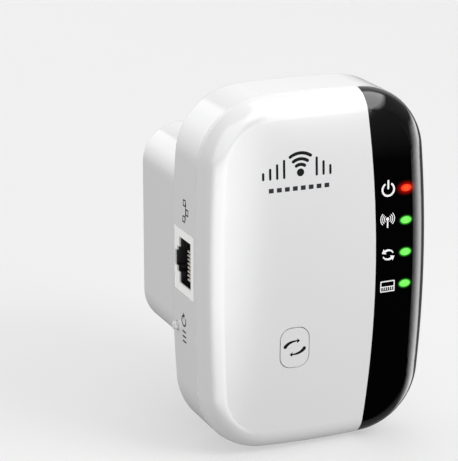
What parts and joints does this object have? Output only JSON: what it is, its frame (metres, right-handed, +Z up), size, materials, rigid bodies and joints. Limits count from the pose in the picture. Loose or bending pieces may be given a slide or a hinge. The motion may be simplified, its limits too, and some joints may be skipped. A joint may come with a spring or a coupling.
{
  "type": "wifi range extender",
  "caption": "Plug-in wireless range extender: bowed white case with a glossy black indicator strip, network socket, setup and reset buttons, on a round-pin plug block.",
  "frame": {"origin": "centre of the plug block's wall face, on the line midway between the two mains pins", "axes": "+Y into the wall along the pins, -Y towards the room, +Z up, +X to the right seen from the room"},
  "size_m": [0.0622, 0.0831, 0.09],
  "materials": {
    "shell_white": "glossy injection-moulded ABS",
    "insert_white": "fine satin moulding",
    "key_white": "glossy injection-moulded ABS",
    "panel_black": "deep piano-black gloss",
    "pin_metal": "nickel-plated brass, turned",
    "label_silver": "satin silver polyester film, blank",
    "switch_black": "moulded",
    "plunger_white": "moulded",
    "light_red": "translucent light pipe, lit red",
    "light_green": "translucent light pipe, lit green",
    "bracket_black": "moulded",
    "led_resin": "clear resin",
    "board_green": "solder mask over glass-fibre board",
    "board_tan": "phenolic paper board",
    "film_clear": "thin insulating film",
    "jack_white": "moulded",
    "jack_black": "moulded",
    "contact_gold": "gold-plated",
    "chip_black": "moulded epoxy",
    "tin_plate": "tin plated",
    "chip_ceramic": "fired, tinned ends",
    "ferrite": "ground ferrite",
    "copper": "bare copper",
    "coax_grey": "extruded jacket",
    "winding_yellow": "polyester tape",
    "capacitor_sleeve": "shrink sleeve over an aluminium can",
    "fuse_brown": "moulded",
    "disc_blue": "dipped coating",
    "wire_red": "extruded insulation",
    "wire_black": "extruded insulation",
    "wire_brown": "extruded insulation",
    "wire_blue": "extruded insulation",
    "screw_steel": "zinc plated"
  },
  "bodies": {
    "housing": {"front_cover": "shell_white", "led_panel": "panel_black", "rear_shell": "shell_white", "plug_housing": "shell_white", "plug_insert": "insert_white", "plug_pin_left": "pin_metal", "plug_pin_right": "pin_metal", "rating_label": "label_silver", "setup_switch": "switch_black", "reset_switch": "switch_black", "light_pipe_power": "light_red", "light_pipe_wireless": "light_green", "light_pipe_sync": "light_green", "light_pipe_computer": "light_green", "light_pipe_bracket": "bracket_black", "indicator_leds": "led_resin", "main_board": "board_green", "power_board": "board_tan", "insulating_sheet": "film_clear", "lan_jack_frame": "jack_white", "lan_jack_body": "jack_black", "lan_jack_contacts": "contact_gold", "network_transformer": "chip_black", "shield_can": "tin_plate", "radio_chip": "chip_black", "memory_chips": "chip_black", "crystal": "tin_plate", "board_passives": "chip_ceramic", "regulator_coil": "ferrite", "antenna_upper": "board_green", "antenna_trace_upper": "copper", "antenna_connector_upper": "contact_gold", "antenna_cable_upper": "coax_grey", "antenna_lower": "board_green", "antenna_trace_lower": "copper", "antenna_connector_lower": "contact_gold", "antenna_cable_lower": "coax_grey", "transformer_core": "ferrite", "transformer_winding": "winding_yellow", "mains_capacitors": "capacitor_sleeve", "output_capacitor": "capacitor_sleeve", "input_choke": "ferrite", "fuse": "fuse_brown", "suppression_capacitor": "disc_blue", "power_chips": "chip_black", "dc_wire_positive": "wire_red", "dc_wire_negative": "wire_black", "mains_wire_left": "wire_brown", "mains_wire_right": "wire_blue", "case_screws": "screw_steel", "plug_housing_screws": "screw_steel", "main_board_screws": "screw_steel", "power_board_screws": "screw_steel"},
    "setup_key": {"setup_button": "key_white", "setup_switch_plunger": "plunger_white"},
    "reset_key": {"reset_button": "key_white", "reset_switch_plunger": "plunger_white"}
  },
  "joints": [
    {"name": "setup_press", "type": "slide", "parent": "housing", "child": "setup_key", "axis": [0, 1, 0], "range_m": [0, 0.0003], "stiffness_N_per_m": 2000},
    {"name": "reset_press", "type": "slide", "parent": "housing", "child": "reset_key", "axis": [1, 0, 0], "range_m": [0, 0.0003], "stiffness_N_per_m": 2000}
  ]
}
